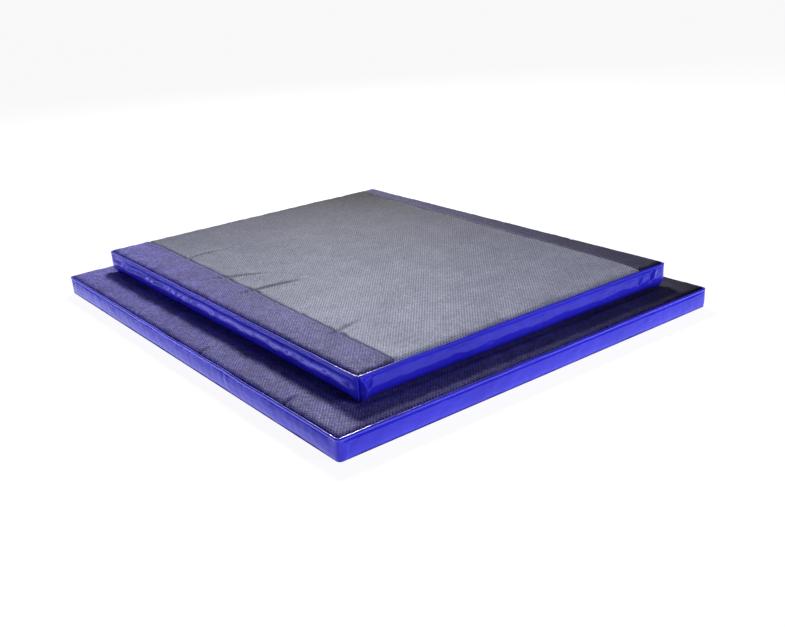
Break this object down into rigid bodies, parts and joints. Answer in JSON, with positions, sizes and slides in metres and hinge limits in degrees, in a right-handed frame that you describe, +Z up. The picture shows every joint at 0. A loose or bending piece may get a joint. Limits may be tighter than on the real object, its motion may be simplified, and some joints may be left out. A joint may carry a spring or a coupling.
{
  "type": "crash landing mat",
  "caption": "Two-tier padded landing mat: a smaller mat lies loose on a larger one, each a foam slab in a piped vinyl cover with a mesh top and a rear zip.",
  "frame": {"origin": "middle of the base mat's underside, on the floor", "axes": "+Z up, +Y along the mats' long side towards the wall with the zips, +X to the side with the narrower dark strip"},
  "size_m": [1, 1.2034, 0.1003],
  "materials": {
    "soft_foam": "open-cell foam, cut edges",
    "firm_foam": "closed-cell foam sheet",
    "blue_vinyl": "glossy coated fabric",
    "floor_vinyl": "embossed non-slip coated fabric",
    "welt_cord": "extruded cord, hidden in the piping",
    "dark_mesh": "ribbed mesh, matte",
    "pale_mesh": "ribbed mesh, matte",
    "zip_tape": "woven tape",
    "zip_chain": "moulded coil",
    "zip_metal": "plated casting"
  },
  "bodies": {
    "base_mat": {"base_soft_foam_slab": "soft_foam", "base_firm_foam_layer": "firm_foam", "base_floor_sheet": "floor_vinyl", "base_side_front": "blue_vinyl", "base_side_left": "blue_vinyl", "base_side_right": "blue_vinyl", "base_rear_strip_lower": "blue_vinyl", "base_rear_strip_upper": "blue_vinyl", "base_zip_end_tabs": "blue_vinyl", "base_welt_cord": "welt_cord", "base_welt_cover": "blue_vinyl", "base_zip_tape_upper": "zip_tape", "base_zip_tape_lower": "zip_tape", "base_zip_chain_upper": "zip_chain", "base_zip_chain_lower": "zip_chain", "base_zip_stops": "zip_metal", "base_mesh_face": "dark_mesh"},
    "base_slider": {"base_zip_slider": "zip_metal"},
    "base_pull": {"base_zip_pull": "zip_metal"},
    "top_mat": {"top_soft_foam_slab": "soft_foam", "top_firm_foam_layer": "firm_foam", "top_floor_sheet": "floor_vinyl", "top_side_front": "blue_vinyl", "top_side_left": "blue_vinyl", "top_side_right": "blue_vinyl", "top_rear_strip_lower": "blue_vinyl", "top_rear_strip_upper": "blue_vinyl", "top_zip_end_tabs": "blue_vinyl", "top_welt_cord": "welt_cord", "top_welt_cover": "blue_vinyl", "top_zip_tape_upper": "zip_tape", "top_zip_tape_lower": "zip_tape", "top_zip_chain_upper": "zip_chain", "top_zip_chain_lower": "zip_chain", "top_zip_stops": "zip_metal", "top_mesh_centre_panel": "pale_mesh", "top_mesh_strip_left": "dark_mesh", "top_mesh_strip_right": "dark_mesh"},
    "top_slider": {"top_zip_slider": "zip_metal"},
    "top_pull": {"top_zip_pull": "zip_metal"}
  },
  "joints": [
    {"name": "top_mat_lift", "type": "slide", "parent": "base_mat", "child": "top_mat", "axis": [0, 0, 1], "range_m": [0, 0.2]},
    {"name": "base_zip_run", "type": "slide", "parent": "base_mat", "child": "base_slider", "axis": [-1, 0, 0], "range_m": [0, 0.871]},
    {"name": "base_pull_swing", "type": "hinge", "parent": "base_slider", "child": "base_pull", "pos_m": [0.4355, 0.60125, 0.0225], "axis": [0, 0, 1], "range_deg": [0, 180]},
    {"name": "top_zip_run", "type": "slide", "parent": "top_mat", "child": "top_slider", "axis": [-1, 0, 0], "range_m": [0, 0.731]},
    {"name": "top_pull_swing", "type": "hinge", "parent": "top_slider", "child": "top_pull", "pos_m": [0.3875, 0.55425, 0.0728], "axis": [0, 0, 1], "range_deg": [0, 180]}
  ]
}
